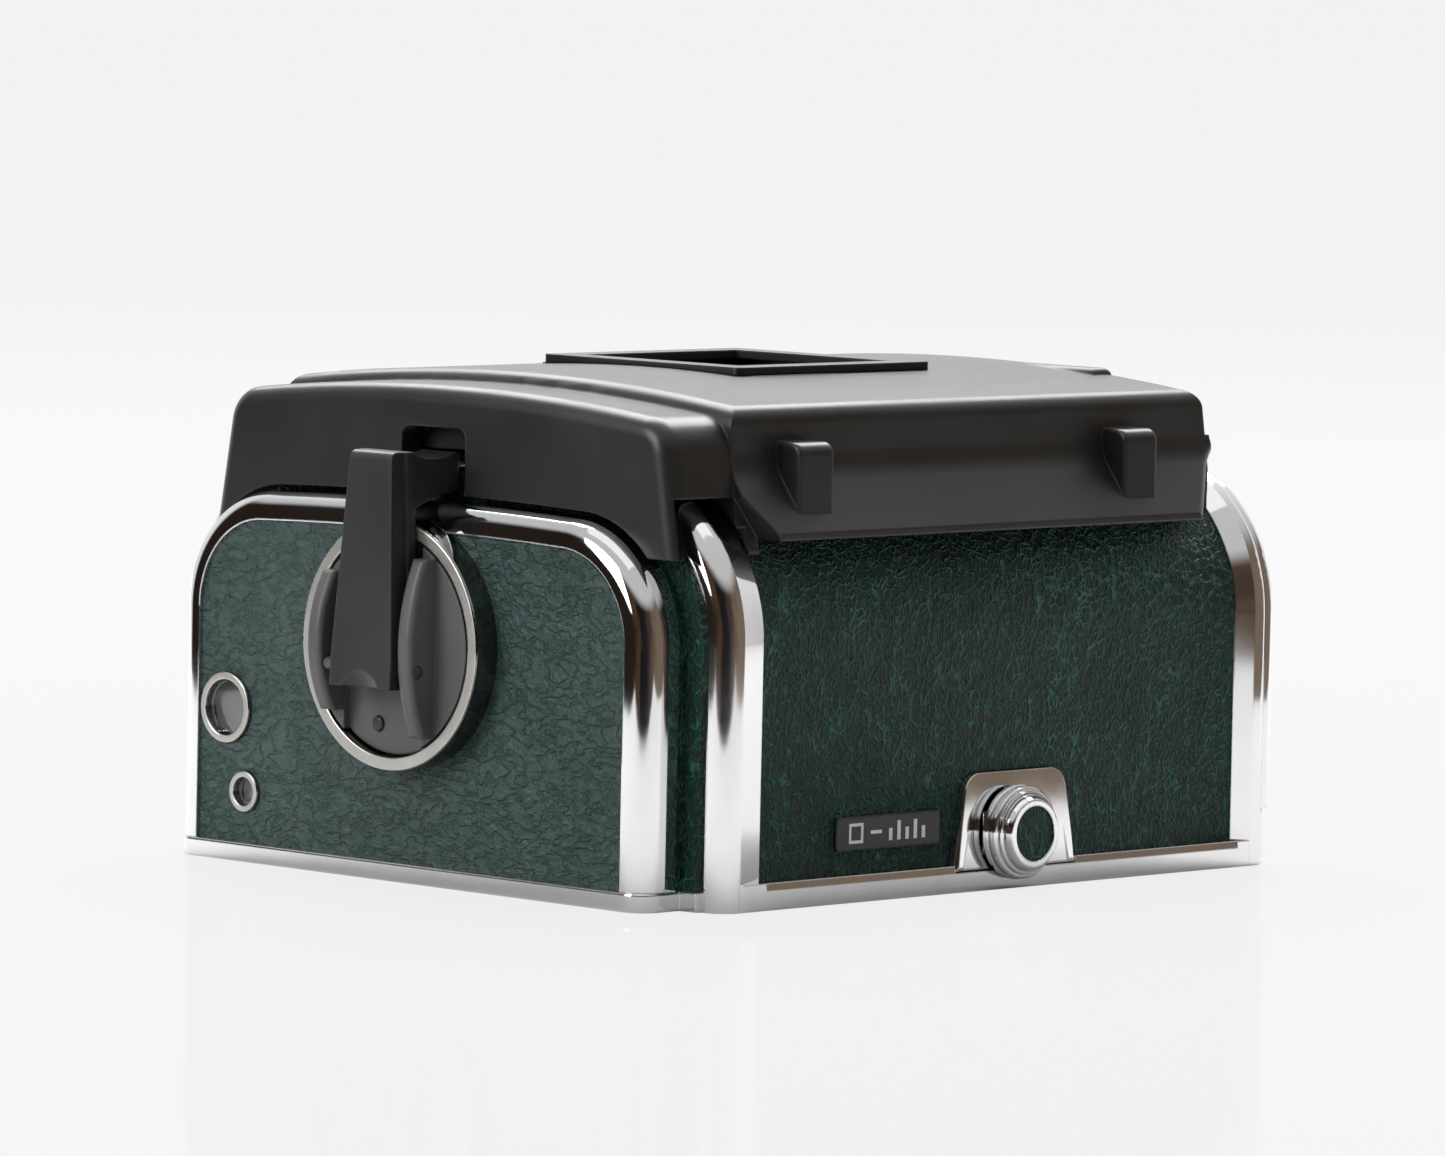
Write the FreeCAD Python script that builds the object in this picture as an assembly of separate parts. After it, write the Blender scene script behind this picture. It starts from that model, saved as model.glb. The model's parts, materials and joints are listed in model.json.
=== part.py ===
"""Roll-film magazine for a medium-format camera, lying on its mating face.

Millimetres. +Z points out of the rear of the magazine, away from the camera body.
The origin is the centre of the film gate, in the plane of the mating face.
The winding crank is on the -X side, the film insert pulls out towards +X,
and the release button and the film-type label are on the -Y side.
"""

import math
import os

import FreeCAD, Part  # noqa: E401  the order matters: FreeCAD comes first

V = FreeCAD.Vector

# ---------------------------------------------------------------- driving dimensions
# main shell, seen along X: a U that is open at the mating face
SHELL_HALF = 43.0        # leather surface, from the middle plane
SHELL_TOP = 47.0         # leather surface at the rear, beside the crown
SHELL_CORNER = 17.0      # rear corner radius of the leather surface
SHELL_CROWN = 0.9        # rise of the rear wall in its middle
LEATHER = 0.8            # thickness of the covering
WALL = 1.4               # wall of the shell casting
BODY_X = (-44.5, 43.0)   # ends of the shell casting
PANEL_X = (-41.1, 38.4)  # ends of the wrapped leather
RIM_PROUD = 1.4          # how far the chrome rims stand over the leather
FLANK_X = -48.4          # outer flank of the rim beside the crank housing

# crank housing, a smaller box on the -X side
HOUSING_HALF = 38.6
HOUSING_TOP = 43.4
HOUSING_CORNER = 14.0
HOUSING_CROWN = 0.5
FACE_X = -54.9           # leather surface of the crank face
FRONT_X = -55.4          # outer plane of the rim round it, and of the base frame
PLATE_X = -54.1          # outer surface of the housing casting
PLATE_IN_X = -53.3       # inner surface of its face plate
RIM_IN_X = -49.8         # inboard edge of the chrome rim round the crank face
RIM_FACE = 3.3           # width of that rim on the crank face

# layers from the mating face inwards
PLATE_T = 2.0            # mating plate
CHANNEL_LOW = 4.5        # dark slide channel
CHANNEL_HIGH = 5.2
GATE_TOP = 7.2           # inner face of the gate wall
GATE = 56.0              # film gate, square
INSERT_LOW = 7.5         # lowest plane of the film insert
FRAME_T = 3.1            # chrome base frame
BAND_Z = 2.3             # its sides lean inwards above this height

# winding crank
CRANK_Z = 27.5
RING_R = 14.5
RING_BORE = 12.85
RING_FRONT = -58.2
DISC_R = 12.6
DISC_BACK = -55.7
HINGE_X = -60.6
HINGE_Z = 25.0
ARM_TIP_Z = 49.7
ARM_BACK = -58.4
RIB_IN = (-5.3, 7.4)      # inner faces of the ribs beside the arm
RIB_T = 2.3
RIB_CREST = -62.1
PIN_R = 0.8
STOP_RIVET = (2.6, CRANK_Z - 9.3)

# windows in the crank face: (y, z, outer radius, clear radius)
COUNTER_WINDOW = (30.7, 17.8, 4.2, 3.2)
STATUS_WINDOW = (27.3, 8.2, 2.45, 1.6)

# release button on the -Y side
BUTTON_X = -0.6
BUTTON_Z = 6.6
BUTTON_TRAVEL = 2.5
BOSS_FACE = -44.4
BUTTON_FACE = -47.8
INLAY_R = 3.15

# film spools
SPOOL_Y = 24.8           # supply side; the take-up side is as far out, set by its gear
SPOOL_Z = 27.5
SPOOL_HALF = 32.5        # half the length of a 120 spool
FLANGE_R = 12.3
SPOOL_PIN_R = 2.4

# gear train in the crank housing
MODULE = 0.8
GEAR_X = (-51.8, -49.8)
CRANK_TEETH = 34
TAKEUP_TEETH = 28
DRIVE_TEETH = 16
TAKEUP_Y = -MODULE * (CRANK_TEETH + TAKEUP_TEETH) / 2
DRIVE_Z = 7.9
DRIVE_Y = -math.sqrt((MODULE * (CRANK_TEETH + DRIVE_TEETH) / 2)**2 - (CRANK_Z - DRIVE_Z)**2)
WELL_X = (-52.6, -49.0)
WELL_Y = (DRIVE_Y - 6.2, DRIVE_Y + 6.2)

# film counter dial and status flag
DIAL_Y, DIAL_Z, DIAL_R = 25.0, 21.5, 9.3
DIAL_X = (-53.0, -52.4)

# rear cover
DOME_TOP = 58.4
DOME_R = 290.0
DOME_X = (-42.1, 38.3)
DOME_HALF = 36.8
COVER_Y = -1.5            # the rear cover is centred on this line
SKIRT_TOP = 49.3
LOBE_X = -52.0
LOBE_TOP = 57.0
COVER_WALL = 2.2
COVER_END = 35.1          # inner face of the cover's end wall on the key side
POCKET_HALF = 31.0
POCKET_Z = (51.4, 53.0)
MEMO_X = -2.6
MEMO_HALF = 16.2
MEMO_TOP = 59.0
MEMO_SLOT = 14.4
MEMO_WINDOW = 12.6

# base frame
CRANK_BASE_T = 2.2
SHELL_LOW = 1.2
STRIP_OUT = 41.2         # the narrow leather band reaches this far out
CREST_X = (-45.4, 40.6)  # where the rims' beads start to slope down to the leather

# key side
COVER_X = 45.3           # outer plane of the insert's cover
PLUG_X = 41.0            # inner plane of the insert's end plate
CAM_X = (39.5, 40.8)
KEY_RING_R = 14.6
KEY_HINGE_X = 46.6
SLIDE_HUB_X = 49.2

EPS = 0.01


# ---------------------------------------------------------------- helpers
def box(x, y, z):
    """A block from three (low, high) pairs."""
    return Part.makeBox(x[1] - x[0], y[1] - y[0], z[1] - z[0], V(x[0], y[0], z[0]))


def rod(radius, start, end):
    """A round bar between two points."""
    a, b = V(*start), V(*end)
    return Part.makeCylinder(radius, (b - a).Length, a, b - a)


def disc_x(radius, x0, x1, y, z):
    """A disc with its axis along X."""
    return rod(radius, (min(x0, x1), y, z), (max(x0, x1), y, z))


def ring_x(outer, inner, x0, x1, y, z):
    return disc_x(outer, x0, x1, y, z).cut(disc_x(inner, x0 - 1, x1 + 1, y, z))


def prism(points, direction):
    """A straight-sided prism from a closed outline."""
    wire = Part.makePolygon([V(*p) for p in points] + [V(*points[0])])
    return Part.Face(wire).extrude(V(*direction))


def outline(half, low, top, corner, crown, x=0.0):
    """The section of the body seen along X: square feet, round rear corners, crowned rear."""
    run = half - corner
    slant = corner * math.sqrt(0.5)
    a = V(x, -half, low)
    b = V(x, -half, top - corner)
    bc = V(x, -run - slant, top - corner + slant)
    c = V(x, -run, top)
    cd = V(x, 0, top + crown)
    d = V(x, run, top)
    de = V(x, run + slant, top - corner + slant)
    e = V(x, half, top - corner)
    f = V(x, half, low)
    edges = [
        Part.LineSegment(a, b).toShape(),
        Part.Arc(b, bc, c).toShape(),
        Part.Arc(c, cd, d).toShape(),
        Part.Arc(d, de, e).toShape(),
        Part.LineSegment(e, f).toShape(),
        Part.LineSegment(f, a).toShape(),
    ]
    return Part.Wire(edges)


def slab(x0, x1, half, low, top, corner, crown):
    """That section, extruded along X."""
    wire = outline(half, low, top, corner, crown, x0)
    return Part.Face(wire).extrude(V(x1 - x0, 0, 0))


def shell_slab(x0, x1, grow, low):
    """The main body's section, grown by a distance all round."""
    return slab(x0, x1, SHELL_HALF + grow, low, SHELL_TOP + grow, SHELL_CORNER + grow, SHELL_CROWN)


def housing_slab(x0, x1, grow, low):
    """The crank housing's section, grown by a distance all round."""
    return slab(x0, x1, HOUSING_HALF + grow, low, HOUSING_TOP + grow, HOUSING_CORNER + grow, HOUSING_CROWN)


def fillet(shape, radius, wanted):
    """Rounds the edges for which wanted(bounding box) is true."""
    edges = [e for e in shape.Edges if wanted(e.BoundBox)]
    return shape.makeFillet(radius, edges)


def at(value, target, tolerance=0.02):
    return abs(value - target) < tolerance


def on_rear_plane_x(x):
    """Picks edges in a plane across X, apart from a straight one along the foot."""
    return lambda b: at(b.XMin, x) and at(b.XMax, x) and not (at(b.ZMax, b.ZMin) and b.YLength > 60)


def gear(teeth, x0, x1, y, z, first_tooth, bore):
    """A spur gear with its axis along X, with straight-flanked teeth and room for backlash."""
    pitch_r = MODULE * teeth / 2
    tip_r = pitch_r + 0.85 * MODULE
    root_r = pitch_r - 1.2 * MODULE
    step = 2 * math.pi / teeth
    points = []
    for i in range(teeth):
        middle = first_tooth + i * step
        for radius, share in ((root_r, -0.29), (tip_r, -0.11), (tip_r, 0.11), (root_r, 0.29)):
            angle = middle + share * step
            points.append((x0, y + radius * math.cos(angle), z + radius * math.sin(angle)))
    wheel = prism(points, (x1 - x0, 0, 0))
    return wheel.cut(disc_x(bore, x0 - 1, x1 + 1, y, z))


def spring(radius, wire_r, pitch, length, start, direction):
    """A coil spring from start, along direction."""
    turns_length = length - 2 * wire_r
    helix = Part.makeHelix(pitch, turns_length, radius)
    section = Part.Wire([Part.makeCircle(wire_r, V(radius, 0, 0), V(0, 1, 0))])
    coil = Part.Wire(helix).makePipeShell([section], True, True)
    coil.translate(V(0, 0, wire_r))
    turn = FreeCAD.Rotation(V(0, 0, 1), V(*direction))
    coil.Placement = FreeCAD.Placement(V(*start), turn).multiply(coil.Placement)
    return coil


def crown_z(y, top):
    """Height of the rear cover's crowned surface at y."""
    return top - DOME_R + math.sqrt(DOME_R**2 - y**2)


# ---------------------------------------------------------------- chrome base and mating plate
def flange(x, half, top, corner, edge):
    """A flat plate with rounded corners and a softened upper edge."""
    plate = box(x, (-half, half), (0, top))
    plate = fillet(plate, corner, lambda b: b.XLength < EPS and b.YLength < EPS)
    return fillet(plate, edge, lambda b: at(b.ZMin, top) and at(b.ZMax, top))


def front_frame():
    """Chrome base frame: a band along each side, a plate, and the dark slide's slot block."""
    out = SHELL_HALF + RIM_PROUD
    lean = 0.2
    left, right = PANEL_X
    band = box(CREST_X, (-out, out), (0, FRAME_T))
    for side in (-1, 1):
        edge = [(left, side * out, BAND_Z), (left, side * (out - lean), FRAME_T),
                (left, side * (out + 1), FRAME_T), (left, side * (out + 1), BAND_Z)]
        band = band.cut(prism(edge, (right - left, 0, 0)))
    plate = box((FLANK_X + 3, BODY_X[1]), (-SHELL_HALF - 0.1, SHELL_HALF + 0.1), (0, FRAME_T))
    ledge = box((FLANK_X - 0.8, FLANK_X + 4), (-STRIP_OUT, STRIP_OUT), (0, CRANK_BASE_T))
    crank = flange((FRONT_X - 0.1, FLANK_X + 4), HOUSING_HALF + 0.1, CRANK_BASE_T, 2.6, 0.3)
    block = box((BODY_X[1], COVER_X), (-SHELL_HALF, SHELL_HALF), (0, INSERT_LOW - 1.1))
    block = fillet(block, 1.5, lambda b: b.XLength < EPS and b.YLength < EPS and at(b.XMin, COVER_X))
    frame = band.fuse([plate, ledge, crank, block]).removeSplitter()
    well = box((-42.0, BODY_X[1] - 0.1), (-41.4, 41.4), (-1, 9))
    slot = box((40, 50), (-30.7, 30.7), (4.35, 5.35))
    gear_well = box(WELL_X, WELL_Y, (-1, 4))
    inner_step = shell_slab(BODY_X[0] - 0.1, BODY_X[1] + EPS, -LEATHER, SHELL_LOW)
    housing_seat = housing_slab(FLANK_X - 1, BODY_X[0], -0.1, CRANK_BASE_T)
    for hollow in (well, slot, gear_well, inner_step, housing_seat, rim_crank_side(), rim_key_side()):
        frame = frame.cut(hollow)
    return frame.cut(boss_prism(0, BOSS_FACE, -SHELL_HALF + LEATHER))


def front_plate():
    """Black mating plate with the gate, the camera's hook slots and its screws' seats."""
    plate = box((-41.9, BODY_X[1] - 0.2), (-41.3, 41.3), (0, PLATE_T))
    gate = box((-GATE / 2 - 1, GATE / 2 + 1), (-GATE / 2 - 1, GATE / 2 + 1), (-1, 5))
    plate = plate.cut(gate)
    for x in (-20, 20):
        plate = plate.cut(box((x - 3, x + 3), (-39.4, -35.2), (-1, 5)))
        plate = plate.cut(box((x - 4, x + 4), (35.2, 38.6), (-1, 5)))
    for x, y in screw_places():
        plate = plate.cut(Part.makeCone(2.2, 1.1, 1.1, V(x, y, 0)))
        plate = plate.cut(rod(1.1, (x, y, -1), (x, y, 3)))
    return plate


def screw_places():
    """Centres of the mating plate's six countersunk screws."""
    return [(x, y) for x in (-36, 37) for y in (-33, 0, 33)]


def front_screws():
    """Countersunk screws of the mating plate, with a cross recess, one solid each."""
    solids = []
    for x, y in screw_places():
        head = Part.makeCone(2.15, 1.05, 1.1, V(x, y, 0.05))
        shank = rod(1.05, (x, y, 1.1), (x, y, 4.2))
        cross = box((x - 1.2, x + 1.2), (y - 0.2, y + 0.2), (-1, 0.6))
        cross = cross.fuse(box((x - 0.2, x + 0.2), (y - 1.2, y + 1.2), (-1, 0.6)))
        solids.append(head.fuse(shank).cut(cross).removeSplitter())
    return Part.makeCompound(solids)


def slide_frame():
    """Plate behind the mating plate: it carries the latch bar's channel and guides the dark slide."""
    end = BODY_X[1] - 0.2
    plate = box((-41.9, end), (-41.3, 41.3), (PLATE_T, CHANNEL_LOW))
    for side in (-1, 1):
        y = sorted((side * 30.9, side * 41.3))
        plate = plate.fuse(box((-41.9, end), y, (CHANNEL_LOW, CHANNEL_HIGH)))
    plate = plate.fuse(box((-41.9, -40.6), (-41.3, 41.3), (CHANNEL_LOW, CHANNEL_HIGH))).removeSplitter()
    gate = box((-GATE / 2 - 0.5, GATE / 2 + 0.5), (-GATE / 2 - 0.5, GATE / 2 + 0.5), (1, 9))
    channel = box((-28.2, 24.2), (-39.8, -34.8), (1, 9))
    tongue = box((-6.4, 2.8), (-42, -39), (1, 9))
    seal_seat = box((40.2, 42.2), (-30.5, 30.5), (3.6, 5))
    plate = plate.cut(gate).cut(channel).cut(tongue).cut(seal_seat)
    for x in (-20, 20):
        plate = plate.cut(box((x - 4, x + 4), (35.2, 38.6), (1, 9)))
    for x, y in screw_places():
        plate = plate.cut(rod(1.1, (x, y, 1), (x, y, 4.3)))
    return plate


def slide_light_seal():
    """Velvet strip that keeps light out of the dark slide's slot."""
    return box((40.25, 42.15), (-30.45, 30.45), (3.65, 4.58))


# ---------------------------------------------------------------- main shell
def main_shell():
    """Shell casting: a U-shaped wall, the gate wall at the front and the wall on the crank side."""
    outer = shell_slab(*BODY_X, -LEATHER, SHELL_LOW)
    hollow = shell_slab(-42.8, BODY_X[1] + 1, -LEATHER - WALL, GATE_TOP)
    front_hollow = box((-42.0, BODY_X[1] + 1), (-41.35, 41.35), (0, CHANNEL_HIGH))
    gate = box((-GATE / 2, GATE / 2), (-GATE / 2, GATE / 2), (0, 9))
    shell = outer.cut(hollow).cut(front_hollow).cut(gate)
    shell = shell.cut(disc_x(4.0, -46, -41, TAKEUP_Y, SPOOL_Z))
    shell = shell.cut(box((-6.4, 2.8), (-44, -41), (0, CHANNEL_LOW + 0.1)))
    return shell


def shell_leather():
    """Leather wrapped round the shell between the two rims, cut out round the release boss."""
    skin = shell_slab(*PANEL_X, 0, FRAME_T).cut(shell_slab(-50, 50, -LEATHER, 0))
    return skin.cut(boss_prism(0.05, -60, -40))


def rim(outer_x, radius, crest_x, panel_x):
    """A chrome rim: a bead with one rounded edge that slopes down to the leather on its other side."""
    bead = shell_slab(*sorted((outer_x, crest_x)), RIM_PROUD, 0)
    bead = fillet(bead, radius, on_rear_plane_x(outer_x))
    sections = []
    for x, grow in ((crest_x, RIM_PROUD), (panel_x, 0.15)):
        sections.append(outline(SHELL_HALF + grow, 0, SHELL_TOP + grow, SHELL_CORNER + grow, SHELL_CROWN, x))
    return bead.fuse(Part.makeLoft(sections, True, True)).removeSplitter()


def rim_crank_side():
    """Rim between the leather and the crank housing, with its flank facing the housing."""
    strip = rim(FLANK_X, 2.7, CREST_X[0], PANEL_X[0])
    strip = strip.cut(shell_slab(BODY_X[0], -39, -LEATHER, -1))
    return strip.cut(housing_slab(-50, BODY_X[0], 0.35, -1))


def rim_key_side():
    strip = rim(BODY_X[1], 1.2, CREST_X[1], PANEL_X[1])
    return strip.cut(shell_slab(PANEL_X[1] - 1, 50, -LEATHER, -1))


# ---------------------------------------------------------------- crank housing
def crank_housing():
    """Cup-shaped casting that covers the gear train."""
    cup = housing_slab(PLATE_X, BODY_X[0], -0.7, CRANK_BASE_T)
    cup = cup.cut(housing_slab(PLATE_IN_X, BODY_X[0] + 1, -1.6, CRANK_BASE_T + 1.5))
    cup = cup.cut(disc_x(2.55, -60, -50, 0, CRANK_Z))
    for y, z, _, clear in (COUNTER_WINDOW, STATUS_WINDOW):
        cup = cup.cut(disc_x(clear + 0.05, -60, -50, y, z))
    return cup.cut(box(WELL_X, WELL_Y, (0, 4)))


def face_panel(x0, x1, grow):
    """The field inside the rim of the crank face."""
    return housing_slab(x0, x1, grow - RIM_FACE, CRANK_BASE_T)


def crank_face_rim():
    """Chrome rim round the crank face, with a rounded outer edge."""
    low = CRANK_BASE_T
    strip = housing_slab(FRONT_X, RIM_IN_X, 0, low)
    strip = fillet(strip, 2.6, on_rear_plane_x(FRONT_X))
    strip = strip.cut(housing_slab(PLATE_X, -49, -0.7, 0))
    strip = strip.cut(disc_x(RING_R, -60, -49, 0, CRANK_Z))
    return strip.cut(housing_slab(-60, -49, -RIM_FACE, 0))


def crank_face_leather():
    panel = face_panel(FACE_X, PLATE_X, 0)
    panel = panel.cut(disc_x(RING_R, -60, -50, 0, CRANK_Z))
    for y, z, radius, _ in (COUNTER_WINDOW, STATUS_WINDOW):
        panel = panel.cut(disc_x(radius, -60, -50, y, z))
    return panel


def crank_strip_leather():
    """Narrow leather band round the housing that turns outwards along the shell rim's flank."""
    band = housing_slab(RIM_IN_X, FLANK_X, -0.1, CRANK_BASE_T)
    turned = housing_slab(FLANK_X - 0.5, FLANK_X, STRIP_OUT - HOUSING_HALF, CRANK_BASE_T)
    return band.fuse(turned).cut(housing_slab(-60, -40, -0.7, 0)).removeSplitter()


def window_bezel(window):
    y, z, outer, clear = window
    ring = ring_x(outer, clear, FRONT_X, PLATE_X, y, z)
    return fillet(ring, 0.25, lambda b: at(b.XMin, FRONT_X) and at(b.XMax, FRONT_X))


def window_glass(window):
    y, z, _, clear = window
    return disc_x(clear - 0.02, PLATE_X - 0.4, PLATE_X + 0.4, y, z)


def crank_bezel():
    """Raised ring round the crank: satin end face, polished wall."""
    ring = ring_x(RING_R, RING_BORE, RING_FRONT, PLATE_X, 0, CRANK_Z)
    return fillet(ring, 0.3, lambda b: at(b.XMin, RING_FRONT) and at(b.XMax, RING_FRONT))


# ---------------------------------------------------------------- winding crank
def crank_disc():
    """Turning disc with two half-moon ribs that guard the folded arm."""
    disc = disc_x(DISC_R, RING_FRONT + 0.15, DISC_BACK, 0, CRANK_Z)
    pocket = box((-70, RING_FRONT + 1.2), RIB_IN, (CRANK_Z - 14, CRANK_Z + 14))
    disc = disc.cut(pocket)
    disc = disc.fuse(crank_rib(RIB_IN[0], RIB_IN[0] - RIB_T, 10.2))
    disc = disc.fuse(crank_rib(RIB_IN[1], RIB_IN[1] + RIB_T, 8.0))
    pin_hole = rod(PIN_R, (HINGE_X, -20, HINGE_Z), (HINGE_X, 20, HINGE_Z))
    shaft_hole = disc_x(2.5, -70, -50, 0, CRANK_Z)
    rivet_hole = disc_x(0.9, -70, -50, *STOP_RIVET)
    return disc.cut(pin_hole).cut(shaft_hole).cut(rivet_hole).removeSplitter()


def crank_rib(y_in, y_out, reach):
    """One half-moon rib: highest in its middle, with blunt ends."""
    base = RING_FRONT + 0.6
    end = RING_FRONT - 1.7
    a = V(base, y_in, CRANK_Z - reach)
    b = V(end, y_in, CRANK_Z - reach)
    c = V(RIB_CREST, y_in, CRANK_Z)
    d = V(end, y_in, CRANK_Z + reach)
    e = V(base, y_in, CRANK_Z + reach)
    edges = [
        Part.LineSegment(a, b).toShape(),
        Part.Arc(b, c, d).toShape(),
        Part.LineSegment(d, e).toShape(),
        Part.LineSegment(e, a).toShape(),
    ]
    rib = Part.Face(Part.Wire(edges)).extrude(V(0, y_out - y_in, 0))
    return fillet(rib, 0.7, lambda b: b.XLength > 1 and b.ZLength > 2 * reach - 1 and b.YLength < EPS
                  or b.YLength > 1 and b.ZLength < EPS and b.XLength < EPS and at(b.XMin, end))


def crank_shaft():
    return disc_x(2.48, RING_FRONT + 0.7, GEAR_X[1] + 0.9, 0, CRANK_Z)


def crank_hinge_pin():
    ends = RIB_IN[0] - RIB_T + 0.4, RIB_IN[1] + RIB_T - 0.4
    return rod(PIN_R - 0.02, (HINGE_X, ends[0], HINGE_Z), (HINGE_X, ends[1], HINGE_Z))


def crank_stop_rivet():
    """Small round stud on the disc, under the folded-out arm."""
    top = RING_FRONT + 0.85
    stud = disc_x(0.88, top, DISC_BACK, *STOP_RIVET)
    return fillet(stud, 0.25, lambda b: at(b.XMin, top) and at(b.XMax, top))


def crank_arm():
    """Folding arm: wide and scooped at the hinge, narrow at the tip, with a rounded heel."""
    front_low, front_high = HINGE_X - 2.05, HINGE_X - 0.8
    heel = 2.2
    corner = V(front_low, 0, HINGE_Z - heel)
    low = V(HINGE_X, 0, HINGE_Z - heel)
    bend = V(HINGE_X + heel * math.sqrt(0.5), 0, HINGE_Z - heel * math.sqrt(0.5))
    back = V(ARM_BACK, 0, HINGE_Z)
    tip_back = V(ARM_BACK, 0, ARM_TIP_Z)
    tip_front = V(front_high, 0, ARM_TIP_Z)
    edges = [
        Part.LineSegment(corner, low).toShape(),
        Part.Arc(low, bend, back).toShape(),
        Part.LineSegment(back, tip_back).toShape(),
        Part.LineSegment(tip_back, tip_front).toShape(),
        Part.LineSegment(tip_front, corner).toShape(),
    ]
    side_view = Part.Face(Part.Wire(edges))
    side_view.translate(V(0, -8, 0))
    blank = side_view.extrude(V(0, 16, 0))
    base_half, tip_half = 5.0, 3.9
    plan = prism(
        [
            (-70, -base_half, HINGE_Z - 4),
            (-70, -base_half, HINGE_Z + 2),
            (-70, -tip_half, ARM_TIP_Z + 1),
            (-70, tip_half, ARM_TIP_Z + 1),
            (-70, base_half, HINGE_Z + 2),
            (-70, base_half, HINGE_Z - 4),
        ],
        (20, 0, 0),
    )
    arm = blank.common(plan)
    front_half = 3.3
    for side in (-1, 1):
        y = side * 10
        chamfer = prism(
            [
                (-70, side * base_half, HINGE_Z + 1),
                (-70, y, HINGE_Z + 1),
                (-70, y, ARM_TIP_Z + 2),
                (-70, side * front_half, ARM_TIP_Z + 2),
            ],
            (20, 0, 0),
        )
        keep = box((ARM_BACK - 1.2, 0), (-12, 12), (0, 60))
        arm = arm.cut(chamfer.cut(keep))
    scoop = Part.makeSphere(5.6, V(front_low - 4.4, 0, HINGE_Z - 3.6))
    arm = arm.cut(scoop)
    arm = arm.cut(rod(PIN_R + 0.05, (HINGE_X, -20, HINGE_Z), (HINGE_X, 20, HINGE_Z)))
    return fillet(arm, 0.9, lambda b: at(b.ZMin, ARM_TIP_Z) and at(b.ZMax, ARM_TIP_Z)
                  and at(b.XMin, front_high) and at(b.XMax, front_high))


def crank_knob():
    """Waisted finger grip on the arm's tip: it rests in the rear cover's notch."""
    low, high = 42.4, ARM_TIP_Z
    inner = -50.2
    a = V(ARM_BACK, -3.0, low)
    b = V(ARM_BACK + 2.5, -3.0, low + 1.35)
    c = V(inner, -3.0, low + 2.6)
    d = V(inner, -3.0, high)
    e = V((ARM_BACK + inner) / 2, -3.0, high - 1.0)
    f = V(ARM_BACK, -3.0, high)
    edges = [
        Part.Arc(a, b, c).toShape(),
        Part.LineSegment(c, d).toShape(),
        Part.Arc(d, e, f).toShape(),
        Part.LineSegment(f, a).toShape(),
    ]
    grip = Part.Face(Part.Wire(edges)).extrude(V(0, 6.0, 0))
    return fillet(grip, 0.5, lambda b: at(b.XMin, inner) and at(b.XMax, inner))


# ---------------------------------------------------------------- release
def boss_prism(grow, y0, y1):
    """The release boss seen along Y: a trapezium with rounded shoulders."""
    base, top, high, radius = 10.3 + grow, 8.1 + grow, 13.6 + grow, 2.6
    low = BAND_Z
    shape = prism(
        [(-base, y0, low), (base, y0, low), (top, y0, high), (-top, y0, high)],
        (0, y1 - y0, 0),
    )
    return fillet(shape, radius, lambda b: b.YLength > 1 and b.XLength < EPS and b.ZMin > 8)


def release_boss():
    """Chrome boss that stands up from the base frame round the release button."""
    boss = boss_prism(0, BOSS_FACE, -SHELL_HALF + LEATHER)
    boss = fillet(boss, 0.7, lambda b: at(b.YMin, BOSS_FACE) and at(b.YMax, BOSS_FACE) and b.ZMax > 2)
    dish = boss_prism(-1.3, BOSS_FACE - 1, BOSS_FACE + 0.2).cut(box((-20, 20), (-60, 0), (0, 2.6)))
    out = BOSS_FACE - 1
    wedge = [(-20, BOSS_FACE, 2.6), (-20, out, 2.6), (-20, out, 14), (-20, BOSS_FACE + 0.5, 14)]
    lean = prism(wedge, (40, 0, 0))
    cavity = box((-6.3, 2.7), (-43.75, -40), (0, 10.4))
    slot_low = BUTTON_X - 2.35 - BUTTON_TRAVEL
    slot = box((slot_low, BUTTON_X + 2.35), (-50, -43), (BUTTON_Z - 2.35, BUTTON_Z + 2.35))
    return boss.cut(dish).cut(lean).cut(cavity).cut(slot)


def release_button():
    """Stepped round button on a neck, turned in one piece, with a seat for its inlay."""
    face, back = BUTTON_FACE, BOSS_FACE - 0.15
    steps = ((back, 5.4), (-45.1, 5.5), (-45.3, 5.3), (-45.3, 4.9), (-45.6, 4.9), (-45.6, 5.2),
             (-45.75, 5.35), (-46.15, 5.35), (-46.35, 5.1), (-46.35, 4.85), (-46.75, 4.75), (-46.85, 4.4),
             (-47.25, 4.3), (face + 0.1, 4.0), (face, 3.85))
    points = [V(BUTTON_X, back, BUTTON_Z)]
    points += [V(BUTTON_X + r, y, BUTTON_Z) for y, r in steps]
    points += [V(BUTTON_X + INLAY_R + 0.05, y, BUTTON_Z) for y in (face, face + 0.6)]
    points += [V(BUTTON_X, face + 0.6, BUTTON_Z), points[0]]
    profile = Part.Face(Part.makePolygon(points))
    knob = profile.revolve(V(BUTTON_X, 0, BUTTON_Z), V(0, 1, 0), 360)
    neck = rod(2.1, (BUTTON_X, back - 0.3, BUTTON_Z), (BUTTON_X, -43.4, BUTTON_Z))
    return knob.fuse(neck).removeSplitter()


def button_inlay():
    """Leather disc in the button's face."""
    top = BUTTON_FACE + 0.1
    pad = rod(INLAY_R, (BUTTON_X, top, BUTTON_Z), (BUTTON_X, BUTTON_FACE + 0.6, BUTTON_Z))
    return fillet(pad, 0.15, lambda b: at(b.YMin, top) and at(b.YMax, top))


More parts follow.
